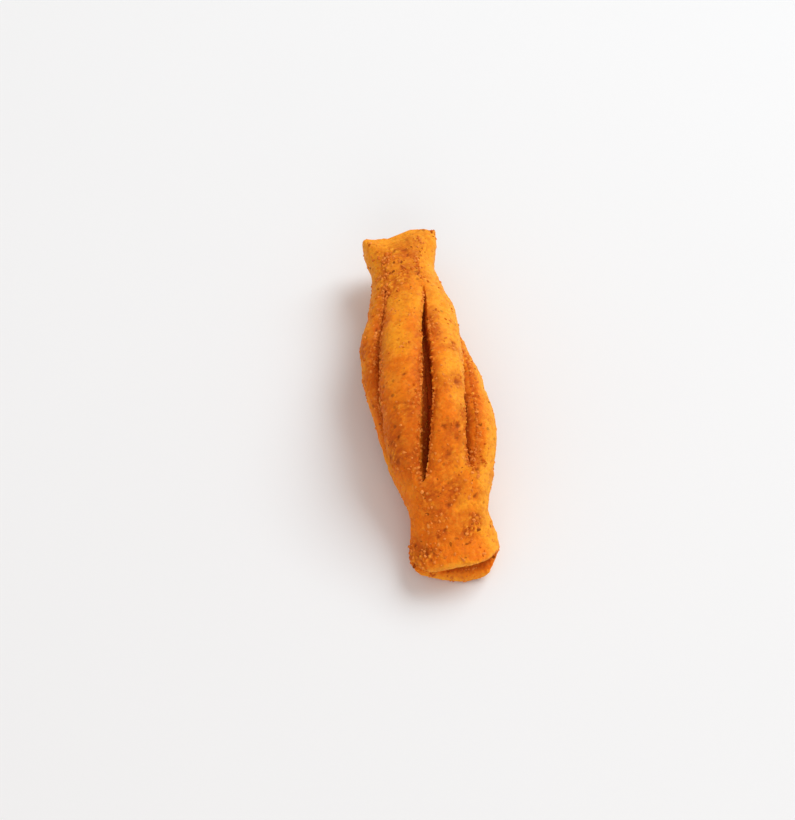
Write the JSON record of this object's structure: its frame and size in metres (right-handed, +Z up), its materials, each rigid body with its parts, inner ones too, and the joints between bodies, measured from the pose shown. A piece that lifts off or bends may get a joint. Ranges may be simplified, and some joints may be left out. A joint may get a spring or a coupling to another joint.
{
  "type": "mathri",
  "caption": "Fried savoury pastry roll: a slit dough sheet rolled up so that its strips bow out as a swollen, twisted belly, pinched flat at both ends.",
  "frame": {"origin": "bottom centre of the bounding box, on the surface that the roll lies on", "axes": "+Y along the roll, towards its raised far end; +Z up; the side with the widest slit faces up"},
  "size_m": [0.0246, 0.0754, 0.0206],
  "materials": {
    "fried_dough": "matt fried dough, orange-yellow with darker browned patches and fine spice flecks"
  },
  "bodies": {
    "root": {"mathri": "fried_dough"}
  },
  "joints": []
}
